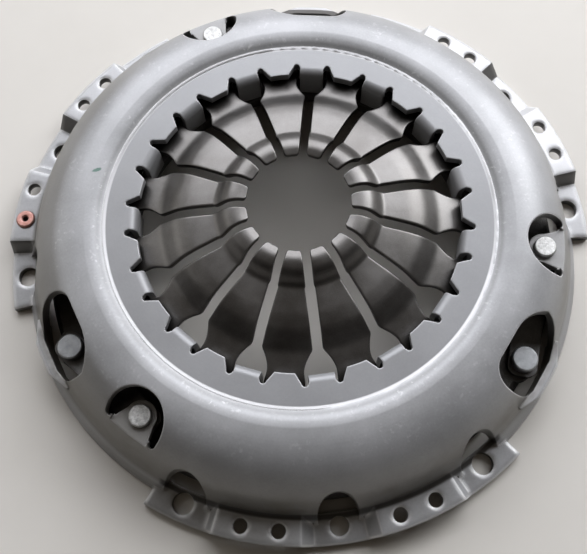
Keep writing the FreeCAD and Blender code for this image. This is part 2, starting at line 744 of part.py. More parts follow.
def make_pressure_plate():
    """The cast ring that clamps the disc, with a broken ridge for the spring and a lug for each strap."""
    body = body_named("pressure_plate")
    foot = "ridge_foot / 2"
    crest = "ridge_crest / 2"
    inner = "plate_r - plate_width"
    ring = section(body, "ring")
    outline(ring, [
        (f"{inner} + plate_chamfer", "plate_height"),
        ("plate_r + plate_flare - plate_chamfer", "plate_height"),
        ("plate_r + plate_flare", "plate_height + plate_chamfer"),
        ("plate_r", "plate_top_z - plate_chamfer"),
        ("plate_r - plate_chamfer", "plate_top_z"),
        (f"ridge_r + {foot}", "plate_top_z"),
        (f"ridge_r + {crest}", "ridge_z - ridge_crest / 4", 1, "ridge_crest * 0.65"),
        (f"ridge_r - {crest}", "ridge_z - ridge_crest / 4"),
        (f"ridge_r - {foot}", "plate_top_z"),
        (f"{inner} + plate_chamfer", "plate_top_z"),
        (inner, "plate_top_z - plate_chamfer"),
        (inner, "plate_height + plate_chamfer"),
    ])
    revolve(body, ring)

    gap = plan(body, "ridge_gap", "ridge_z + 1", f"{FIRST_SECTOR} + 180 / {RIDGES}")
    outline(gap, [
        (f"ridge_r - {foot} - 1", "-ridge_gap / 2"),
        (f"ridge_r + {foot} + 1", "-ridge_gap / 2"),
        (f"ridge_r + {foot} + 1", "ridge_gap / 2"),
        (f"ridge_r - {foot} - 1", "ridge_gap / 2"),
    ])
    cut = extrude(body, gap, "ridge_z + 1 - plate_top_z - 0.8", "PartDesign::Pocket", up=False)
    repeat(body, [cut], RIDGES)

    lug = plan(body, "lug", "plate_height + lug_set_up", f"{FIRST_SECTOR} + lug_angle")
    outline(lug, [
        ("plate_r - plate_width / 3", "-lug_half_width"),
        ("lug_r", "-lug_half_width", 1, "lug_half_width"),
        ("lug_r + lug_edge", "-lug_half_width + lug_edge"),
        ("lug_r + lug_edge", "lug_half_width - lug_edge", 1, "lug_half_width"),
        ("lug_r", "lug_half_width"),
        ("plate_r - plate_width / 3", "lug_half_width"),
    ])
    ear = extrude(body, lug, "plate_thickness - lug_set_up", "PartDesign::Pad", up=True)
    hole = plan(body, "lug_hole", "plate_top_z + 1", f"{FIRST_SECTOR} + lug_angle")
    circle(hole, "lug_r", "0", "rivet_shank / 2 + rivet_fit")
    drill = extrude(body, hole, "plate_thickness + 2", "PartDesign::Pocket", up=False)
    recess = plan(body, "tail_recess", "plate_height - 1", f"{FIRST_SECTOR} + lug_angle")
    circle(recess, "lug_r", "0", "lug_tail / 2 + lug_tail_room")
    sink = extrude(body, recess, "lug_set_up + 1", "PartDesign::Pocket", up=True)
    repeat(body, [ear, drill, sink], SECTORS)
    return body


def make_strap_leaf(label, sector, layer):
    """One spring-steel leaf, flat under each rivet and bent down between them."""
    body = body_named(label)
    side = section(body, "side")
    top_run = "strap_flat"
    outline(side, [
        ("-strap_end", "0"),
        ("-strap_end", "-strap_sheet"),
        (top_run, "-strap_sheet", -1, "strap_bend"),
        ("strap_span / 2", "-strap_sheet - strap_drop / 2", 1, "strap_bend"),
        ("strap_span - strap_flat", "-strap_sheet - strap_drop"),
        ("strap_span + strap_end", "-strap_sheet - strap_drop"),
        ("strap_span + strap_end", "-strap_drop"),
        ("strap_span - strap_flat", "-strap_drop", -1, "strap_bend"),
        ("strap_span / 2", "-strap_drop / 2", 1, "strap_bend"),
        (top_run, "0"),
    ])
    extrude(body, side, "strap_width", both_sides=True)
    cuts = plan(body, "holes_and_corners", "1")
    circle(cuts, "0", "0", "rivet_shank / 2 + rivet_fit")
    circle(cuts, "strap_span", "0", "rivet_shank / 2 + running_gap")
    for end, outwards in (("-strap_end", -1), ("strap_span + strap_end", 1)):
        for edge in (1, -1):
            outline(cuts, [
                (f"{end} - {outwards} * strap_corner", f"{edge} * (strap_width / 2 + 1)"),
                (f"{end} + {outwards}", f"{edge} * (strap_width / 2 + 1)"),
                (f"{end} + {outwards}", f"{edge} * (strap_width / 2 - strap_corner)"),
                (end, f"{edge} * (strap_width / 2 - strap_corner)"),
                (f"{end} - {outwards} * strap_corner", f"{edge} * strap_width / 2"),
            ])
    extrude(body, cuts, "strap_drop + strap_sheet + 2", "PartDesign::Pocket", up=False)
    angle = f"{FIRST_SECTOR} + 120 * {sector} + anchor_angle"
    across, up = polar("anchor_r", angle)
    heading = f"{angle} + atan2(strap_across; strap_along) / 1 deg"
    put(body, across, up, f"strap_top_z - {layer} * strap_sheet", heading)
    return body


def rivet(label, profile, across, up, height, turn="0"):
    """A riveted pin turned from one profile; its head seats at its own origin."""
    body = body_named(label)
    sketch = section(body, "profile")
    outline(sketch, profile)
    revolve(body, sketch)
    put(body, across, up, height, turn)
    return body


def headed_profile(head, head_height, grip, tail, tail_height):
    """Half section of a solid rivet: head above its seat, shank through the grip, closed tail below."""
    return [
        ("0", f"-({grip}) - {tail_height}"),
        (f"{tail} / 2 - {tail_height} / 3", f"-({grip}) - {tail_height}"),
        (f"{tail} / 2", f"-({grip}) - {tail_height} * 2 / 3"),
        (f"{tail} / 2", f"-({grip})"),
        ("rivet_shank / 2", f"-({grip})"),
        ("rivet_shank / 2", "0"),
        (f"{head} / 2", "0"),
        (f"{head} / 2", f"{head_height} - {head} / 20"),
        (f"{head} / 2 - {head} / 20", head_height),
        ("0", head_height),
    ]


def make_strap_rivets(sector):
    """The rivet that anchors the straps to the cover, and the one that fixes them to the plate's lug."""
    stack = f"{LEAVES} * strap_sheet"
    anchor = headed_profile("anchor_head", "anchor_head_height", f"sheet + {stack}",
                            "anchor_tail", "anchor_tail_height")
    across, up = polar("anchor_r", f"{FIRST_SECTOR} + 120 * {sector} + anchor_angle")
    rivet(f"strap_anchor_rivet_{sector + 1}", anchor, across, up, "strap_pad_z")
    lug = headed_profile("lug_head", "lug_head_height", f"plate_thickness - lug_set_up + {stack}",
                         "lug_tail", "lug_tail_height")
    across, up = polar("lug_r", f"{FIRST_SECTOR} + 120 * {sector} + lug_angle")
    rivet(f"strap_lug_rivet_{sector + 1}", lug, across, up, f"plate_top_z + {stack}")


def make_balance_rivet():
    """A hollow copper rivet closed in one balance hole of a raised pad."""
    shank = "(balance_hole / 2 - rivet_fit)"
    bore = "(balance_rivet_bore / 2)"
    head = "(balance_rivet_head / 2)"
    tail = "(balance_hole / 2 + 1)"
    profile = [
        (bore, "-sheet - balance_rivet_head_height"),
        (tail, "-sheet - balance_rivet_head_height * 0.8"),
        (tail, "-sheet"),
        (shank, "-sheet"),
        (shank, "0"),
        (head, "0"),
        (head, "balance_rivet_head_height / 2"),
        (f"{head} - balance_rivet_head_height / 2", "balance_rivet_head_height"),
        (f"{bore} + 0.6", "balance_rivet_head_height"),
        (bore, "balance_rivet_head_height - 0.6"),
    ]
    across, up = polar("balance_circle", f"{FIRST_SECTOR} + balance_rivet_sector + balance_angle_out")
    rivet("balance_rivet", profile, across, up, "pad_z")


make_cover()
make_fulcrum_ring("upper_fulcrum_ring", "upper_wire_z")
make_fulcrum_ring("lower_fulcrum_ring", "lower_wire_z")
make_diaphragm_spring()
make_pressure_plate()
for sector in range(SECTORS):
    for layer in range(LEAVES):
        make_strap_leaf(f"drive_strap_{sector + 1}_leaf_{layer + 1}", sector, layer)
    make_strap_rivets(sector)
make_balance_rivet()
doc.recompute()

# Every feature has to have worked, and every piece is written under its own name
for item in doc.Objects:
    if "Invalid" in item.State or "Error" in item.State:
        raise RuntimeError(f"{item.Label} failed: {item.State}")
os.makedirs("parts", exist_ok=True)
pieces = [item for item in doc.Objects if item.TypeId in ("PartDesign::Body", "Part::Torus")]
for piece in pieces:
    shape = piece.Shape
    if shape.isNull() or not shape.isValid():
        raise RuntimeError(f"{piece.Label} has no valid shape")
    if len(shape.Solids) != 1:
        raise RuntimeError(f"{piece.Label} is {len(shape.Solids)} solids")
    shape.exportStep(f"parts/{piece.Label}.step")
    box = shape.BoundBox
    print(f"{piece.Label}: {shape.Volume / 1000:.2f} cm3, z {box.ZMin:.2f} to {box.ZMax:.2f}")
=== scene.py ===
# %% [markdown]
# This file dresses a clutch pressure plate for a picture. On the real object a pressed steel cover
# carries a dished spring, a heavy cast plate and three packs of thin straps. The solids of all these
# pieces already exist at their true size, so the work here is finish, light and the springs that bend.
# The frame is loaded first. Lengths of the part are named in millimetres and become metres through MM. The
# lamps and the floor are in metres.

# %% Load the solid model
import json
import math
import bmesh
import bpy
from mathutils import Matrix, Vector


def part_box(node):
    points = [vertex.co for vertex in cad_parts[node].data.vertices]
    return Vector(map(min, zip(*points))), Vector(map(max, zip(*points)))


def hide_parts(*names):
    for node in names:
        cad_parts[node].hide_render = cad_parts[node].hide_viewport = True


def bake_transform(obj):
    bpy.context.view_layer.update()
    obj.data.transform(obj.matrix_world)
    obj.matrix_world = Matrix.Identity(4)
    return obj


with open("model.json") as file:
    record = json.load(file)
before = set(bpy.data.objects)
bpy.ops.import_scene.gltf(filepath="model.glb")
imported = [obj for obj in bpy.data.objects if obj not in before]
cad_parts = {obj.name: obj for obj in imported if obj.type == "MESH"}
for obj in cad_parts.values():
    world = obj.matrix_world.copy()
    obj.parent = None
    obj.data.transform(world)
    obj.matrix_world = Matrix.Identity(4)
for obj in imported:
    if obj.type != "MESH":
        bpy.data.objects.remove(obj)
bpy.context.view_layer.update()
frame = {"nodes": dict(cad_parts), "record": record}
MM = 0.001

# %% [markdown]
# The photograph looks down on the plate from the side of its release fingers, from about a third of a
# metre. Its place and turn were worked out from the round edges of the ring and the flange. A camera
# could be aimed at a target with a constraint, but plain numbers for place and turn are simpler to
# read and can't drift when something else moves.

# %% Camera
CAMERA_PLACE = Vector((-12.8, -133.1, 329.9)) * MM
CAMERA_TURN = (19.71, 1.22, -7.20)
LENS_MM = 46.9
SENSOR_MM = 36.0

camera_data = bpy.data.cameras.new("camera")
camera_data.lens = LENS_MM
camera_data.sensor_width = SENSOR_MM
camera = bpy.data.objects.new("camera", camera_data)
camera.location = CAMERA_PLACE
camera.rotation_euler = [math.radians(angle) for angle in CAMERA_TURN]
bpy.context.scene.collection.objects.link(camera)
bpy.context.scene.camera = camera
print("camera at", [round(length, 3) for length in camera.location])

# %% [markdown]
# The light is that of a room with a wide window behind the object: the far side of the dome and of the
# fingers is bright, and the side towards us falls off to a warm grey. Large area lamps give the long
# soft gradients that make satin metal read as metal. A few small lamps would leave hard hot spots.

# %% Lamps
LAMPS = {
    "window": {"place": (0.28, 1.00, 0.95), "size": (2.4, 1.05), "watts": 36.5,
               "colour": (0.93, 0.945, 1.0)},
    "left_wall": {"place": (-1.3, 0.55, 0.8), "size": (0.9, 0.8), "watts": 3.0,
                  "colour": (1.0, 0.99, 0.97)},
    "right_wall": {"place": (1.3, 0.75, 0.9), "size": (0.9, 0.9), "watts": 10.0,
                   "colour": (0.97, 0.985, 1.0)},
}
LAMP_TARGET = Vector((0.0, 0.0, 0.03))


def add_lamp(name, place, size, watts, colour):
    """A rectangular area lamp that faces the object."""
    data = bpy.data.lights.new(name, "AREA")
    data.shape = "RECTANGLE"
    data.size, data.size_y = size
    data.energy = watts
    data.color = colour
    lamp = bpy.data.objects.new(name, data)
    lamp.location = place
    lamp.rotation_euler = (LAMP_TARGET - Vector(place)).to_track_quat("-Z", "Y").to_euler()
    bpy.context.scene.collection.objects.link(lamp)
    return lamp


for lamp_name, settings in LAMPS.items():
    add_lamp(lamp_name, **settings)

bpy.context.scene.view_settings.view_transform = "Standard"
print("lamps:", sorted(LAMPS))

# %% [markdown]
# The finishes are built from nodes, so a few short helpers come first. Each one adds one small idea to
# a node tree and hands back the socket that carries its result. Wiring every node by hand would take ten
# lines where one says enough.

# %% Node helpers


def new_material(name):
    """A material, its node tree and its shader, ready to be wired."""
    material = bpy.data.materials.new(name)
    material.use_nodes = True
    tree = material.node_tree
    return material, tree, tree.nodes["Principled BSDF"]


def new_node(tree, kind, inputs=None, **settings):
    """A node with its settings; each input is given as a plain value or as a socket to link from."""
    made = tree.nodes.new(kind)
    for name, value in settings.items():
        setattr(made, name, value)
    for name, value in (inputs or {}).items():
        if isinstance(value, bpy.types.NodeSocket):
            tree.links.new(value, made.inputs[name])
        else:
            made.inputs[name].default_value = value
    return made


def calculate(tree, operation, *values):
    """The result of one sum on sockets or numbers."""
    return new_node(tree, "ShaderNodeMath", dict(enumerate(values)), operation=operation).outputs[0]


def fade(tree, value, start, end):
    """Nought where the value is at start, one where it is at end, and smooth between."""
    inputs = {"Value": value, "From Min": start, "From Max": end}
    return new_node(tree, "ShaderNodeMapRange", inputs, interpolation_type="SMOOTHSTEP").outputs["Result"]


def between(tree, value, low, high, soft):
    """One where the value lies between two limits, with soft ends."""
    rising = fade(tree, value, low - soft, low + soft)
    return calculate(tree, "MULTIPLY", rising, fade(tree, value, high + soft, high - soft))


def all_of(tree, mask, *others):
    """The product of masks or shares: one only where all of them are one."""
    for other in others:
        mask = calculate(tree, "MULTIPLY", mask, other)
    return mask


NOISE_ROUGHNESS = 0.6


def noise(tree, place, size_mm, detail):
    """Cloudy noise whose patches are about so many millimetres across."""
    inputs = {"Vector": place, "Scale": 1 / (size_mm * MM), "Detail": detail,
              "Roughness": NOISE_ROUGHNESS}
    return new_node(tree, "ShaderNodeTexNoise", inputs).outputs["Fac"]


def mix_colours(tree, share, low, high):
    """A colour between two others."""
    made = new_node(tree, "ShaderNodeMix", data_type="RGBA")
    for name, value in (("Factor", share), ("A", low), ("B", high)):
        if isinstance(value, bpy.types.NodeSocket):
            tree.links.new(value, made.inputs[name])
        else:
            made.inputs[name].default_value = value if name == "Factor" else (*value, 1)
    return made.outputs["Result"]


def radius_and_height(tree, place):
    """Distance from the clutch axis and height, both in millimetres."""
    split = new_node(tree, "ShaderNodeSeparateXYZ", {0: place})
    across = calculate(tree, "POWER", split.outputs["X"], 2)
    along = calculate(tree, "POWER", split.outputs["Y"], 2)
    radius = calculate(tree, "SQRT", calculate(tree, "ADD", across, along))
    return calculate(tree, "DIVIDE", radius, MM), calculate(tree, "DIVIDE", split.outputs["Z"], MM)


print("helpers ready")

# %% [markdown]
# The rest of the room is a soft glow, brightest overhead and towards the window, and dark low down behind
# the viewer. An even glow would fill the shadows under the far fingers, which are nearly black in the photo.
# Behind the object the eye, and metal seen from the side, meet a pale backdrop that lights nothing itself.

# %% Room
ROOM_DARK = (0.020, 0.016, 0.012)
ROOM_LIGHT = (0.125, 0.108, 0.090)
ROOM_BRIGHT_WAY = (0.0, 0.35, 0.94)
ROOM_BRIGHTENS = (0.4, 1.0)
BACKDROP = (0.66, 0.63, 0.60)
BACKDROP_TOP = 0.25

world = bpy.context.scene.world or bpy.data.worlds.new("room")
bpy.context.scene.world = world
world.use_nodes = True
tree = world.node_tree
way = new_node(tree, "ShaderNodeTexCoord").outputs["Generated"]
towards_bright = new_node(tree, "ShaderNodeVectorMath", {0: way, 1: ROOM_BRIGHT_WAY}, operation="DOT_PRODUCT")
brightness = fade(tree, towards_bright.outputs["Value"], *ROOM_BRIGHTENS)
glow = mix_colours(tree, brightness, ROOM_DARK, ROOM_LIGHT)
path = new_node(tree, "ShaderNodeLightPath").outputs
upness = new_node(tree, "ShaderNodeSeparateXYZ", {0: way}).outputs["Z"]
mirrored = calculate(tree, "MULTIPLY", path["Is Glossy Ray"], fade(tree, upness, BACKDROP_TOP, 0.0))
seen = calculate(tree, "MAXIMUM", path["Is Camera Ray"], mirrored)
tree.links.new(mix_colours(tree, seen, glow, BACKDROP), tree.nodes["Background"].inputs["Color"])
print("room: glow from", ROOM_DARK, "to", ROOM_LIGHT)

# %% [markdown]
# The floor is a pale warm board. It has to keep the object's soft shadow, so it is a real surface with a
# little tooth in it, and not a painted backdrop. Well away from the object the eye sees through it to the
# backdrop, as on a curved sheet of paper, so that side views show no dark horizon. Its light stays the same.

# %% Floor
FLOOR_HALF = 8.0
FLOOR_DROP = 0.0002
FLOOR_DARK = (0.63, 0.605, 0.56)
FLOOR_LIGHT = (0.69, 0.665, 0.62)
FLOOR_ROUGHNESS = 0.75
FLOOR_CLOUD_MM = 45
FLOOR_DETAIL = 3.0
FLOOR_ENDS = (0.45, 1.3)

floor_mesh = bpy.data.meshes.new("floor")
corners = [(-FLOOR_HALF, -FLOOR_HALF, -FLOOR_DROP), (FLOOR_HALF, -FLOOR_HALF, -FLOOR_DROP),
           (FLOOR_HALF, FLOOR_HALF, -FLOOR_DROP), (-FLOOR_HALF, FLOOR_HALF, -FLOOR_DROP)]
floor_mesh.from_pydata(corners, [], [(0, 1, 2, 3)])
floor = bpy.data.objects.new("floor", floor_mesh)
bpy.context.scene.collection.objects.link(floor)
floor_finish, tree, shader = new_material("floor_board")
place = new_node(tree, "ShaderNodeTexCoord").outputs["Object"]
board = mix_colours(tree, noise(tree, place, FLOOR_CLOUD_MM, FLOOR_DETAIL), FLOOR_DARK, FLOOR_LIGHT)
tree.links.new(board, shader.inputs["Base Color"])
shader.inputs["Roughness"].default_value = FLOOR_ROUGHNESS
away = new_node(tree, "ShaderNodeVectorMath", {0: place}, operation="LENGTH").outputs["Value"]
eye = new_node(tree, "ShaderNodeLightPath").outputs["Is Camera Ray"]
gone = calculate(tree, "MULTIPLY", fade(tree, away, *FLOOR_ENDS), eye)
clear = new_node(tree, "ShaderNodeBsdfTransparent").outputs["BSDF"]
surface = new_node(tree, "ShaderNodeMixShader", {0: gone, 1: shader.outputs["BSDF"], 2: clear})
tree.links.new(surface.outputs["Shader"], tree.nodes["Material Output"].inputs["Surface"])
floor_mesh.materials.append(floor_finish)
print("floor:", 2 * FLOOR_HALF, "m wide")

# %% [markdown]
# All the metal here is a variation on one recipe. Broad clouds change the tone, as oil and handling do.
# A fine grain changes the gloss and the height. The edges of a pressing are rounded by the die and rubbed
# bright in use, so a rounded normal stands in for the tiny radius, and where it turns away from the flat
# face the colour is lifted. Where nearby surfaces shut out the light, in corners and recesses, the colour is
# darkened: painted shade. One function wires that recipe, and each finish only names its own numbers.

# %% Metal recipe
PAINTED_SHADE = (0.016, 0.013, 0.011)
SHADE_REACH_MM = 12
SHADE_FROM_OPENNESS = (0.7, 0.15)
CLOUD_DETAIL = 5.0
GRAIN_DETAIL = 3.0
LINE_DETAIL = 4.0
GRAIN_SHARE = 0.25
MOTTLE_LIMITS = (0.3, 0.7)
EDGE_FROM_TURN = (0.985, 0.85)
FEELER_SAMPLES = 8


def metal_finish(name, dark, light, metallic, roughness, rough_spread, cloud_mm, grain_mm, grain_height_mm,
                 edge_mm, edge_colour, corner_shade, turned_mm=0.0):
    """A metal with clouds, grain, bright rounded edges, painted shade in corners and, if asked for, turned
    lines.
    """
    material, tree, shader = new_material(name)
    place = new_node(tree, "ShaderNodeTexCoord").outputs["Object"]
    clouds = noise(tree, place, cloud_mm, CLOUD_DETAIL)
    grain = noise(tree, place, grain_mm, GRAIN_DETAIL)
    clouds = calculate(tree, "MULTIPLY", clouds, 1 - GRAIN_SHARE)
    mottle = calculate(tree, "MULTIPLY_ADD", grain, GRAIN_SHARE, clouds)
    colour = mix_colours(tree, fade(tree, mottle, *MOTTLE_LIMITS), dark, light)
    gloss = {"Value": mottle, "From Min": MOTTLE_LIMITS[0], "From Max": MOTTLE_LIMITS[1],
             "To Min": roughness - rough_spread, "To Max": roughness + rough_spread}
    rough = new_node(tree, "ShaderNodeMapRange", gloss).outputs["Result"]

    rounded = new_node(tree, "ShaderNodeBevel", {"Radius": edge_mm * MM}, samples=FEELER_SAMPLES)
    rounded = rounded.outputs["Normal"]
    flat = new_node(tree, "ShaderNodeNewGeometry").outputs["Normal"]
    alike = new_node(tree, "ShaderNodeVectorMath", {0: rounded, 1: flat}, operation="DOT_PRODUCT")
    colour = mix_colours(tree, fade(tree, alike.outputs["Value"], *EDGE_FROM_TURN), colour, edge_colour)
    # Painted shade: where nearby surfaces shut a point in, its colour is darkened towards a near black.
    reach = {"Distance": SHADE_REACH_MM * MM}
    openness = new_node(tree, "ShaderNodeAmbientOcclusion", reach, samples=FEELER_SAMPLES).outputs["AO"]
    painted_shade = calculate(tree, "MULTIPLY", fade(tree, openness, *SHADE_FROM_OPENNESS), corner_shade)
    colour = mix_colours(tree, painted_shade, colour, PAINTED_SHADE)

    bumps = {"Height": grain, "Distance": grain_height_mm * MM, "Normal": rounded}
    normal = new_node(tree, "ShaderNodeBump", bumps).outputs["Normal"]
    if turned_mm:
        radius, _ = radius_and_height(tree, place)
        lines = {"W": radius, "Scale": 1 / turned_mm, "Detail": LINE_DETAIL}
        lines = new_node(tree, "ShaderNodeTexNoise", lines, noise_dimensions="1D").outputs["Fac"]
        bumps = {"Height": lines, "Distance": grain_height_mm * MM, "Normal": normal}
        normal = new_node(tree, "ShaderNodeBump", bumps).outputs["Normal"]
    tree.links.new(colour, shader.inputs["Base Color"])
    tree.links.new(rough, shader.inputs["Roughness"])
    tree.links.new(normal, shader.inputs["Normal"])
    shader.inputs["Metallic"].default_value = metallic
    return material


def paint_over(material, mask, colour):
    """Lay a colour over a finish where the mask is one."""
    tree = material.node_tree
    shader = tree.nodes["Principled BSDF"]
    under = shader.inputs["Base Color"].links[0].from_socket
    tree.links.new(mix_colours(tree, mask, under, colour), shader.inputs["Base Color"])


def place_in(material):
    """The place socket that a finish already uses."""
    return next(item for item in material.node_tree.nodes if item.type == "TEX_COORD").outputs["Object"]


print("recipe ready, dirt reaches", SHADE_REACH_MM, "mm")

# %% [markdown]
# The recipe is now used seven times. The cover is a phosphated pressing, greyer and flatter than bare metal,
# so it's mostly not metallic. The spring and the straps are darker and oily, the cast plate is nearly black
# and rough, and the rivets and the balance rivet are small bright spots. The tones were set side by side with
# the photo, spot by spot, because names such as steel or iron say little about how light a surface looks.

# %% Seven finishes
BARE_STEEL = (0.72, 0.72, 0.73)
COVER_STEEL = metal_finish("phosphated_pressing", (0.32, 0.323, 0.33), (0.43, 0.433, 0.445),
                           metallic=0.28, roughness=0.38, rough_spread=0.04,
                           cloud_mm=30, grain_mm=0.9, grain_height_mm=0.012, edge_mm=0.9,
                           edge_colour=(0.82, 0.82, 0.82), corner_shade=0.95, turned_mm=1.2)
SPRING_STEEL = metal_finish("oiled_spring_steel", (0.118, 0.112, 0.106), (0.190, 0.184, 0.178),
                            metallic=0.9, roughness=0.37, rough_spread=0.06,
                            cloud_mm=18, grain_mm=0.5, grain_height_mm=0.01, edge_mm=0.3,
                            edge_colour=(0.45, 0.45, 0.45), corner_shade=0.8, turned_mm=0.7)
CAST_IRON = metal_finish("rough_cast_iron", (0.04, 0.037, 0.033), (0.12, 0.115, 0.108),
                         metallic=0.5, roughness=0.6, rough_spread=0.1,
                         cloud_mm=9, grain_mm=0.8, grain_height_mm=0.25, edge_mm=0.6,
                         edge_colour=(0.22, 0.22, 0.22), corner_shade=0.9)
RIVET_STEEL = metal_finish("flat_headed_rivet", (0.32, 0.335, 0.35), (0.46, 0.475, 0.49),
                           metallic=0.85, roughness=0.42, rough_spread=0.08,
                           cloud_mm=3, grain_mm=0.5, grain_height_mm=0.04, edge_mm=0.4,
                           edge_colour=BARE_STEEL, corner_shade=0.9)
PEENED_STEEL = metal_finish("peened_rivet", (0.28, 0.28, 0.27), (0.66, 0.66, 0.65),
                            metallic=0.8, roughness=0.5, rough_spread=0.1,
                            cloud_mm=1.6, grain_mm=0.5, grain_height_mm=0.12, edge_mm=0.6,
                            edge_colour=BARE_STEEL, corner_shade=0.8)
STRAP_STEEL = metal_finish("blued_strap_steel", (0.06, 0.058, 0.056), (0.13, 0.128, 0.126),
                           metallic=0.9, roughness=0.40, rough_spread=0.05,
                           cloud_mm=10, grain_mm=0.6, grain_height_mm=0.01, edge_mm=0.2,
                           edge_colour=(0.35, 0.35, 0.35), corner_shade=0.9)
COPPER = metal_finish("balance_copper", (0.38, 0.17, 0.14), (0.66, 0.38, 0.33),
                      metallic=0.8, roughness=0.45, rough_spread=0.05,
                      cloud_mm=2, grain_mm=0.5, grain_height_mm=0.06, edge_mm=0.5,
                      edge_colour=(0.85, 0.62, 0.58), corner_shade=0.9)
FINISHES = (COVER_STEEL, SPRING_STEEL, CAST_IRON, RIVET_STEEL, PEENED_STEEL, STRAP_STEEL, COPPER)
print("finishes:", [finish.name for finish in FINISHES])

# %% [markdown]
# The cover has marks of its own, each laid over the finish where a mask of place says so. Painted shade
# comes first: the wall is painted darker and browner lower down and on the left, for the shade and the warm
# reflection of the floor that fall there. More painted shade lies in the inner corner where each flange meets
# the wall, most of it on the near side. The three flanges are told apart by the cosine of three times the
# angle round the axis, which is one in the middle of each flange. A picture wrapped round the cover could
# carry the same marks, but masks of radius and height stay sharp at any distance and are easy to change.

# %% Painted shade on the wall and in the flange corners
WALL_RADIUS = (123, 120)
WALL_SHADE = (0.16, 0.15, 0.128)
WALL_SHADE_Z = (36, 18)
WALL_SHADE_EVEN = 0.6
WALL_SHADE_PATCHY = 0.25
LEFT_SHADE_X = (-30, -90)
LEFT_SHADE_Z = (37.5, 34.5)
LEFT_SHADE_SHARE = 0.5
PATCH_MM = 14
PATCH_DETAIL = 4.0
PATCH_LIMITS = (0.35, 0.75)
SECTORS = 3
FIRST_SECTOR = math.radians(-90)
SECTOR_HALF = math.radians(35.5)
SECTOR_SOFT = 0.03
CORNER_RADIUS = (120.0, 122.2)
CORNER_SOFT = 0.6
CORNER_Z = (12, 10.5)
CORNER_NEAR_Y = (0, -70)
CORNER_EVEN = 0.25
CORNER_NEAR = 0.6

tree = COVER_STEEL.node_tree
place = place_in(COVER_STEEL)
radius, height_mm = radius_and_height(tree, place)
split = new_node(tree, "ShaderNodeSeparateXYZ", {0: place})
x_mm = calculate(tree, "DIVIDE", split.outputs["X"], MM)
y_mm = calculate(tree, "DIVIDE", split.outputs["Y"], MM)
patchy = fade(tree, noise(tree, place, PATCH_MM, PATCH_DETAIL), *PATCH_LIMITS)

# Painted shade: the wall is darkened and warmed lower down and on the left.
on_wall = fade(tree, radius, *WALL_RADIUS)
amount = calculate(tree, "MULTIPLY_ADD", patchy, WALL_SHADE_PATCHY, WALL_SHADE_EVEN)
paint_over(COVER_STEEL, all_of(tree, on_wall, fade(tree, height_mm, *WALL_SHADE_Z), amount), WALL_SHADE)
on_left = all_of(tree, fade(tree, x_mm, *LEFT_SHADE_X), fade(tree, height_mm, *LEFT_SHADE_Z))
paint_over(COVER_STEEL, all_of(tree, on_wall, on_left, LEFT_SHADE_SHARE), WALL_SHADE)

angle = calculate(tree, "ARCTAN2", y_mm, x_mm)
three_times = calculate(tree, "MULTIPLY_ADD", angle, SECTORS, -SECTORS * FIRST_SECTOR)
edge = math.cos(SECTORS * SECTOR_HALF)
by_flange = fade(tree, calculate(tree, "COSINE", three_times), edge - SECTOR_SOFT, edge + SECTOR_SOFT)
# Painted shade: a dark band in the inner corner where each flange meets the wall, strongest on the near side.
corner = between(tree, radius, *CORNER_RADIUS, CORNER_SOFT)
corner = all_of(tree, corner, by_flange, fade(tree, height_mm, *CORNER_Z))
amount = calculate(tree, "MULTIPLY_ADD", fade(tree, y_mm, *CORNER_NEAR_Y), CORNER_NEAR, CORNER_EVEN)
paint_over(COVER_STEEL, all_of(tree, corner, amount), PAINTED_SHADE)
print("oil from", WALL_SHADE_Z[0], "mm down, dirt by", SECTORS, "flanges")

# %% [markdown]
# The ring was coined flat and is a shade darker than the dome. Its outer bead is burnished, and a bright
# line is painted on it and on its foot: a painted highlight. Beside it a dark band is painted into the
# crease: painted shade. The dome's crest carries fine white rubs, and the bright streaks on the shoulder
# next to the bead are a painted highlight.

# %% Ring, bead and rubs
RING_TONE = (0.25, 0.253, 0.262)
RING_SHARE = 0.6
RING_SOFT = 1
CREASE_RADIUS = (84.0, 85.0)
CREASE_SOFT = 1.2
CREASE_SHADE = (0.13, 0.13, 0.12)
CREASE_SHADE_SHARE = 0.55
BEAD_RADIUS = (82.2, 83.2)
BEAD_FOOT = (81.5, 82.5)
BEAD_SOFT = 0.3
BURNISH_AND_HIGHLIGHT = (0.60, 0.60, 0.61)
RUB_MM = 2.2
RUB_DETAIL = 5.0
RUB_SOFT = 1
RUB_LIMITS = (0.56, 0.66)
RUB_AND_HIGHLIGHT_BANDS = ((93, 104, 0.35), (84, 88, 0.6))

on_ring = fade(tree, radius, BEAD_RADIUS[0], BEAD_RADIUS[0] - RING_SOFT)
paint_over(COVER_STEEL, all_of(tree, on_ring, RING_SHARE), RING_TONE)
# Painted shade: a dark band in the crease just outside the bead.
crease = between(tree, radius, *CREASE_RADIUS, CREASE_SOFT)
paint_over(COVER_STEEL, all_of(tree, crease, CREASE_SHADE_SHARE), CREASE_SHADE)
# Painted highlight: a bright line on the burnished bead and on its foot.
bead = between(tree, radius, *BEAD_RADIUS, BEAD_SOFT)
paint_over(COVER_STEEL, all_of(tree, bead, patchy), BURNISH_AND_HIGHLIGHT)
bead_foot = between(tree, radius, *BEAD_FOOT, BEAD_SOFT)
paint_over(COVER_STEEL, bead_foot, BURNISH_AND_HIGHLIGHT)
streaks = all_of(tree, fade(tree, noise(tree, place, RUB_MM, RUB_DETAIL), *RUB_LIMITS), patchy)
# The first band holds rubs on the crest; the second, on the shoulder next to the bead, is a painted highlight.
for low, high, strength in RUB_AND_HIGHLIGHT_BANDS:
    rub_and_highlight = all_of(tree, streaks, between(tree, radius, low, high, RUB_SOFT), strength)
    paint_over(COVER_STEEL, rub_and_highlight, BARE_STEEL)
print("rubs at radii", [(low, high) for low, high, _ in RUB_AND_HIGHLIGHT_BANDS])

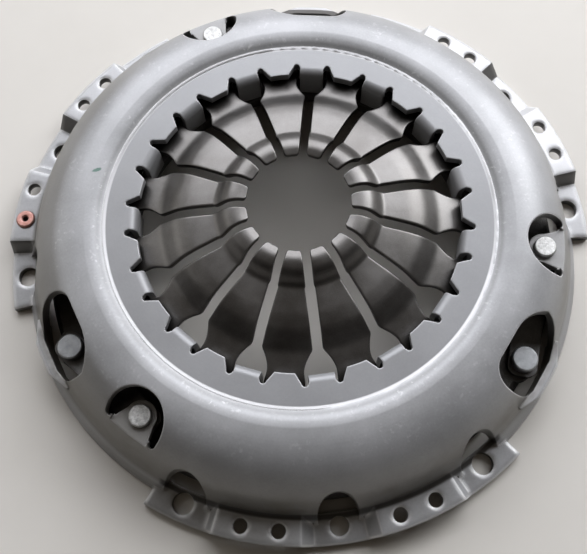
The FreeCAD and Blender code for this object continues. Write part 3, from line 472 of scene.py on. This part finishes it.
# %% [markdown]
# The far flange, which faces the window, is painted brighter: painted light. The slopes of the folds that
# face the near side are painted dark, and so is the near left foot: painted shade. The lips under the
# windows were cut through and never coated, and show bare steel, except at the far side, where the lip
# is painted dark: painted shade.

# %% Flange and lips
FLANGE_RADIUS = (122, 123)
FAR_Y = (-20, 50)
FAR_X = (-60, 20)
FAR_LIGHT_SHARE = 0.6
RAMP_TURN = (-0.15, -0.45)
RAMP_Y = (-60, -30)
RAMP_SHARE = 0.85
RAMP_SHADE = (0.10, 0.097, 0.09)
FOOT_SHADE_Y = (-50, -100)
FOOT_SHADE_X = (0, -40)
FOOT_SHADE_SHARE = 0.45
LIP_RADIUS = (119.6, 122.4)
LIP_RADIUS_SOFT = 0.3
LIP_Z = (13.4, 13.6)
LIP_Z_SOFT = 0.04
LIP_STEEL = (0.55, 0.55, 0.55)
FAR_LIP_Y = (60, 80)
FAR_LIP_SHADE = (0.06, 0.055, 0.05)

on_flange = fade(tree, radius, *FLANGE_RADIUS)
# Painted light: the far flange, which faces the window, is brightened.
far_flange = all_of(tree, on_flange, fade(tree, y_mm, *FAR_Y), fade(tree, x_mm, *FAR_X))
paint_over(COVER_STEEL, all_of(tree, far_flange, FAR_LIGHT_SHARE), BARE_STEEL)
# Painted shade: the fold slopes that face the near side, away from the window, are darkened.
normal = new_node(tree, "ShaderNodeNewGeometry").outputs["Normal"]
facing = new_node(tree, "ShaderNodeSeparateXYZ", {0: normal}).outputs["Y"]
ramps = all_of(tree, on_flange, fade(tree, facing, *RAMP_TURN), fade(tree, y_mm, *RAMP_Y))
paint_over(COVER_STEEL, all_of(tree, ramps, RAMP_SHARE), RAMP_SHADE)
# Painted shade: the near left foot of the flange is darkened.
near_left = all_of(tree, on_flange, fade(tree, y_mm, *FOOT_SHADE_Y), fade(tree, x_mm, *FOOT_SHADE_X))
paint_over(COVER_STEEL, all_of(tree, near_left, FOOT_SHADE_SHARE), WALL_SHADE)

lip = all_of(tree, between(tree, height_mm, *LIP_Z, LIP_Z_SOFT),
             between(tree, radius, *LIP_RADIUS, LIP_RADIUS_SOFT))
paint_over(COVER_STEEL, all_of(tree, lip, patchy), LIP_STEEL)
# Painted shade: the lip on the far side is darkened.
paint_over(COVER_STEEL, all_of(tree, lip, fade(tree, y_mm, *FAR_LIP_Y)), FAR_LIP_SHADE)
print("flange and lips painted")

# %% [markdown]
# Where the sheet was stretched over the dome it's also duller than on the flange. The flange folds and the
# foot of the bead are rounder than the solid model draws them, so the rounded normal reaches further there.
# The shapes themselves stay those of the solid model.

# %% Gloss and rounder folds of the cover
DULL_RADIUS = (120, 118)
DULL_ROUGHER = 0.04
FLANGE_FOLD_MM = 2.6
BEAD_FOLD_MM = 2.0

gloss = tree.nodes["Principled BSDF"].inputs["Roughness"]
duller = calculate(tree, "MULTIPLY_ADD", fade(tree, radius, *DULL_RADIUS), DULL_ROUGHER,
                   gloss.links[0].from_socket)
tree.links.new(duller, gloss)
fold = next(item for item in tree.nodes if item.type == "BEVEL").inputs["Radius"]
reach = calculate(tree, "MULTIPLY_ADD", on_flange, FLANGE_FOLD_MM * MM, fold.default_value)
reach = calculate(tree, "MULTIPLY_ADD", bead_foot, BEAD_FOLD_MM * MM, reach)
tree.links.new(reach, fold)
print("folds rounded by up to", FLANGE_FOLD_MM, "mm more")

# %% [markdown]
# A small dab of green paint on the left of the dome is probably an inspector's mark. It's a stretched round
# mask whose edge is broken by a little noise, laid on last so that it covers every other mark.

# %% Paint dab
DAB_CENTRE = Vector((-83.2, 30.8, 38.9))
DAB_ANGLE = math.radians(12)
DAB_HALF_LENGTH = 2.1
DAB_HALF_WIDTH = 0.9
DAB_GREEN = (0.02, 0.13, 0.08)
DAB_THICKNESS = 0.75
DAB_NOISE_MM = 1.2
DAB_DETAIL = 3.0
DAB_RAGGED = 1.2
DAB_EDGE = (1.7, 1.2)
DAB_Z = (38.0, 38.3)

frame_of_dab = {"Vector": place, "Location": DAB_CENTRE * MM, "Rotation": (0, 0, DAB_ANGLE),
                "Scale": (DAB_HALF_LENGTH * MM, DAB_HALF_WIDTH * MM, 1)}
dab = new_node(tree, "ShaderNodeMapping", frame_of_dab, vector_type="TEXTURE").outputs["Vector"]
dab_reach = new_node(tree, "ShaderNodeVectorMath", {0: dab}, operation="LENGTH").outputs["Value"]
rough_edge = calculate(tree, "MULTIPLY", noise(tree, place, DAB_NOISE_MM, DAB_DETAIL), DAB_RAGGED)
ragged = calculate(tree, "ADD", dab_reach, rough_edge)
dabbed = all_of(tree, fade(tree, ragged, *DAB_EDGE), fade(tree, height_mm, *DAB_Z))
paint_over(COVER_STEEL, all_of(tree, dabbed, DAB_THICKNESS), DAB_GREEN)
print("paint dab:", 2 * DAB_HALF_LENGTH, "mm long")

# %% [markdown]
# The fingers were punched out before the disc was hardened. Every steep face of the spring, the cut edges
# of the fingers, is painted dark: painted shade.

# %% Painted shade on the cut edges of the spring
CUT_EDGE_SHADE = (0.035, 0.03, 0.027)
CUT_LEVELNESS = (0.55, 0.25)

tree = SPRING_STEEL.node_tree
normal = new_node(tree, "ShaderNodeNewGeometry").outputs["Normal"]
upward = new_node(tree, "ShaderNodeSeparateXYZ", {0: normal}).outputs["Z"]
levelness = calculate(tree, "ABSOLUTE", upward)
# Painted shade: every steep face of the spring is darkened.
paint_over(SPRING_STEEL, fade(tree, levelness, *CUT_LEVELNESS), CUT_EDGE_SHADE)
print("cut edges darkened")

# %% [markdown]
# Each solid takes the finish of its material slot. The rivets at the cover's end of the straps are the
# one exception: their heads were hammered over and are brighter and rougher than the flat ones.

# %% Finish of each solid
FINISH_OF_SLOT = {"cover_steel": COVER_STEEL, "spring_steel": SPRING_STEEL, "ring_wire": STRAP_STEEL,
                  "plate_iron": CAST_IRON, "strap_steel": STRAP_STEEL, "rivet_steel": RIVET_STEEL,
                  "balance_copper": COPPER}


def dress(node, material):
    """Give every slot of a solid the finish."""
    solid = frame["nodes"][node]
    if not solid.material_slots:
        solid.data.materials.append(material)
    for slot in solid.material_slots:
        slot.material = material


for part in frame["record"]["subparts"]:
    peened = part["node"].startswith("strap_anchor_rivet")
    dress(part["node"], PEENED_STEEL if peened else FINISH_OF_SLOT[part["material_slot"]])

# %% [markdown]
# The spring disc is dished, and inside its rim it is slotted into fifteen fingers that bend up near the
# ends. When the clutch is worked the finger ends travel several times as far as the plate, so each finger
# has to bend between the cover and the moving tips. The fingers are drawn as flat bars that follow one
# middle line, with rounded edges. One skin function does this from a row of cross-sections, which keeps
# every edge a real round that catches the light. A subdivided block would need far more care at the slots.

# %% Skin over a row of cross-sections
EDGE_STEPS = 3


def flat_bar_section(half_width, half_height, edge, across):
    """Points round the section of a flat bar with rounded edges, as pairs of width and height."""
    points = []
    quarters = ((1, 1, 0), (-1, 1, 90), (-1, -1, 180), (1, -1, 270))
    for side, level, start in quarters:
        for step in range(EDGE_STEPS + 1):
            turn = math.radians(start + 90 * step / EDGE_STEPS)
            points.append((side * (half_width - edge) + edge * math.cos(turn),
                           level * (half_height - edge) + edge * math.sin(turn)))
        if start in (0, 180):
            for step in range(1, across):
                share = math.cos(math.pi * step / across)
                points.append((side * (half_width - edge) * share, level * half_height))
    return points


def skin(name, rings, capped=True):
    """A mesh through rings of points that all have the same count."""
    built = bmesh.new()
    loops = [[built.verts.new(point) for point in ring] for ring in rings]
    count = len(loops[0])
    for near, far in zip(loops, loops[1:]):
        for index in range(count):
            after = (index + 1) % count
            built.faces.new((near[index], near[after], far[after], far[index]))
    if capped:
        built.faces.new(loops[0])
        built.faces.new(loops[-1])
    bmesh.ops.recalc_face_normals(built, faces=built.faces)
    mesh = bpy.data.meshes.new(name)
    built.to_mesh(mesh)
    built.free()
    mesh.shade_smooth()
    piece = bpy.data.objects.new(name, mesh)
    bpy.context.scene.collection.objects.link(piece)
    return piece


print("section points:", len(flat_bar_section(1, 0.4, 0.1, 8)))

# %% [markdown]
# Two curves describe the whole disc. The middle line gives its height at each radius: a straight cone outside,
# and a few bends near the finger ends. The slot's half width gives the space between two fingers along its
# length: narrow at the ends, a little wider after a small step, and flared into a window for the cover's tab.
# Both could be drawn by hand as splines, but as functions of a few lengths they can be checked and altered.

# %% Middle line and slots of the spring disc
FINGERS = 15
FIRST_FINGER = math.radians(-78)
FINGER_TURN = 2 * math.pi / FINGERS
SPRING_SHEET = 2.5
SPRING_EDGE = 0.45
SPRING_RIM = 94.96
FULCRUM_RADIUS = 77.46
FULCRUM_Z = 27.2
CONE_SLOPE = math.radians(16.2)
TIP_RADIUS = 21.5
BEND_SPREAD = 1.5
BEND_STEPS = 4
SLOPE_REACH = 0.2
FINGER_LINE = ((21.5, 19.45), (25.5, 20.35), (29.6, 19.25), (34.0, 14.35), (46.0, 12.35),
               (51.5, 10.55))
CONE_START = 58.5
SLOT_HALF = 2.1
TIP_SLOT_HALF = 1.7
TIP_SLOT_END = 34.5
SLOT_STEP = 0.6
FLARE_START = 58.46
FLARE_END = 67.46
WINDOW_HALF = 6.6
WINDOW_END = 75.96
WINDOW_CORNER = 2.4
TIP_CORNER = 1.3


def sharp_height(radius):
    """Height of the disc's middle line, with sharp bends."""
    if radius >= CONE_START:
        return FULCRUM_Z + (FULCRUM_RADIUS - radius) * math.tan(CONE_SLOPE)
    line = [*FINGER_LINE, (CONE_START, (FULCRUM_RADIUS - CONE_START) * math.tan(CONE_SLOPE))]
    for (near, low), (far, high) in zip(line, line[1:]):
        if radius <= far:
            return FULCRUM_Z + low + (high - low) * (radius - near) / (far - near)


def height(radius):
    """The same line with its bends rounded, by averaging it over a short stretch."""
    reach = [BEND_SPREAD * step / BEND_STEPS for step in range(-BEND_STEPS, BEND_STEPS + 1)]
    return sum(sharp_height(radius + shift) for shift in reach) / len(reach)


def slot_half_width(along):
    """Half the width of the slot between two fingers, at a distance along its middle."""
    if along <= TIP_SLOT_END:
        return TIP_SLOT_HALF
    if along <= FLARE_START:
        return TIP_SLOT_HALF + (SLOT_HALF - TIP_SLOT_HALF) * min((along - TIP_SLOT_END) / SLOT_STEP, 1)
    if along <= FLARE_END:
        share = (along - FLARE_START) / (FLARE_END - FLARE_START)
        return SLOT_HALF + (WINDOW_HALF - SLOT_HALF) * math.sin(share * math.pi / 2)
    into_corner = max(along - (WINDOW_END - WINDOW_CORNER), 0)
    return WINDOW_HALF - WINDOW_CORNER + math.sqrt(max(WINDOW_CORNER ** 2 - into_corner ** 2, 0))


def disc_point(radius, angle, offset):
    """A point of the disc: its radius and angle, and how far it lies above the middle line."""
    slope = (height(radius + SLOPE_REACH) - height(radius - SLOPE_REACH)) / (2 * SLOPE_REACH)
    length = math.hypot(1, slope)
    out = radius - offset * slope / length
    level = height(radius) + offset / length
    return Vector((out * math.cos(angle), out * math.sin(angle), level)) * MM


print("finger tip at", round(height(TIP_RADIUS), 2), "mm, rim at", round(height(SPRING_RIM), 2), "mm")

# %% [markdown]
# Each finger is a skin over cross-sections whose width follows the slots on both sides. The sections stand
# close together at the rounded tip, at the bends and at the window's corner, and further apart between.

# %% Fingers
CORNER_STEPS = 6
BENT_END = 36
BENT_SPACING = 0.6
PLAIN_SPACING = 1.0
FINGER_ACROSS = 8


def inset(distance, radius):
    """How far a rounded corner stands in from the straight edge at a distance from the end."""
    left = max(radius - distance, 0)
    return radius - math.sqrt(max(radius ** 2 - left ** 2, 0))


def finger_rows():
    """Distances along a slot at which a finger gets a cross-section: close together at bends and ends."""
    turns = [math.pi / 2 * step / CORNER_STEPS for step in range(CORNER_STEPS + 1)]
    rows = [TIP_RADIUS + TIP_CORNER * (1 - math.cos(turn)) for turn in turns[:-1]]
    along = TIP_RADIUS + TIP_CORNER
    while along < WINDOW_END - WINDOW_CORNER:
        rows.append(along)
        along += BENT_SPACING if along < BENT_END else PLAIN_SPACING
    rows += [WINDOW_END - WINDOW_CORNER * (1 - math.sin(turn)) for turn in turns]
    return rows


def finger_ring(along, middle_angle):
    """The cross-section of one finger where its slots have run a given distance."""
    slot = slot_half_width(along)
    radius = math.hypot(along, slot)
    from_tip = along - TIP_RADIUS
    half_width = radius * (FINGER_TURN / 2 - math.atan2(slot, along)) - inset(from_tip, TIP_CORNER)
    half_height = SPRING_SHEET / 2 - inset(from_tip, SPRING_EDGE)
    section = flat_bar_section(half_width, half_height, SPRING_EDGE, FINGER_ACROSS)
    return [disc_point(radius, middle_angle + across / radius, up) for across, up in section]


for index in range(FINGERS):
    angle = FIRST_FINGER + index * FINGER_TURN
    finger = skin(f"finger_{index + 1}", [finger_ring(along, angle) for along in finger_rows()])
    finger.data.materials.append(SPRING_STEEL)
    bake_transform(finger)
    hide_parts("diaphragm_spring")
print("fingers:", FINGERS, "with", len(finger_rows()), "sections each")

# %% [markdown]
# Outside the wire rings the disc is whole. Its rim rides up with the plate while the fingers go down, so
# it is made in fifteen short arcs. Neighbours share the same edge where they meet.

# %% Rim of the spring disc
RIM_STEPS = 6
RIM_ACROSS = 6


def rim_ring(angle):
    """The section of the rim in the plane through the axis at an angle."""
    middle = (WINDOW_END + SPRING_RIM) / 2
    half_width = (SPRING_RIM - WINDOW_END) / 2
    section = flat_bar_section(half_width, SPRING_SHEET / 2, SPRING_EDGE, RIM_ACROSS)
    return [disc_point(middle + out, angle, up) for out, up in section]


for index in range(FINGERS):
    angle = FIRST_FINGER + index * FINGER_TURN
    turns = [angle + FINGER_TURN * (step / RIM_STEPS - 0.5) for step in range(RIM_STEPS + 1)]
    rim = skin(f"spring_rim_{index + 1}", [rim_ring(turn) for turn in turns], capped=False)
    rim.data.materials.append(SPRING_STEEL)
    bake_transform(rim)
    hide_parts("diaphragm_spring")
print("rim arcs:", FINGERS)

# %% [markdown]
# Three packs of thin straps hold the plate to the cover and turn with it. Each strap is flat under both
# of its rivets and falls from the cover's tongue to the plate's lug in a long gentle S. Their ends are
# found from the rivets of the solid model, so they stay right if the model changes.

# %% Drive straps
STRAP_SHEET = 0.8
STRAP_HALF_WIDTH = 6.3
STRAP_END = 6.8
STRAP_FLAT = 6.5
STRAP_CORNER = 4.2
STRAP_EDGE = 0.2
STRAP_ROWS = 26
STRAP_ACROSS = 6


def middle_of(node):
    """The middle of a solid's box in millimetres."""
    low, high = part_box(node)
    return (low + high) / 2 / MM


def strap_fall(share):
    """How much of the drop a strap has made at a share of its free length."""
    return 2 * share ** 2 if share < 0.5 else 1 - 2 * (1 - share) ** 2


def strap_rings(start, finish, top, drop):
    """Cross-sections of a strap from past its upper rivet to past its lower one."""
    along = Vector((finish.x - start.x, finish.y - start.y, 0))
    span = along.length
    along.normalize()
    side = Vector((-along.y, along.x, 0))
    turns = [math.pi / 2 * step / CORNER_STEPS for step in range(CORNER_STEPS + 1)]
    ends = [STRAP_CORNER * (1 - math.cos(turn)) for turn in turns]
    free = span - 2 * STRAP_FLAT
    rows = [-STRAP_END + distance for distance in ends]
    rows += [STRAP_FLAT + free * step / STRAP_ROWS for step in range(STRAP_ROWS + 1)]
    rows += [span + STRAP_END - distance for distance in reversed(ends)]
    rings = []
    for row in rows:
        share = min(max((row - STRAP_FLAT) / free, 0), 1)
        from_end = min(row + STRAP_END, span + STRAP_END - row)
        half_width = STRAP_HALF_WIDTH - inset(from_end, STRAP_CORNER)
        section = flat_bar_section(half_width, STRAP_SHEET / 2, STRAP_EDGE, STRAP_ACROSS)
        spot = start + along * row
        level = top - STRAP_SHEET / 2 - drop * strap_fall(share)
        rings.append([Vector((spot.x + side.x * out, spot.y + side.y * out, level + up)) * MM
                      for out, up in section])
    return rings


for pack in (1, 2, 3):
    upper = middle_of(f"strap_anchor_rivet_{pack}")
    lower = middle_of(f"strap_lug_rivet_{pack}")
    for leaf in (1, 2, 3):
        node = f"drive_strap_{pack}_leaf_{leaf}"
        low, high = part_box(node)
        drop = (high.z - low.z) / MM - STRAP_SHEET
        strap = skin(f"strap_{pack}_{leaf}", strap_rings(upper, lower, high.z / MM, drop))
        strap.data.materials.append(STRAP_STEEL)
        gone = (lower - upper).to_2d().normalized() * STRAP_FLAT
        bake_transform(strap)
        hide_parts(node)
print("straps: 9, each falling", round(drop, 2), "mm")

# %% [markdown]
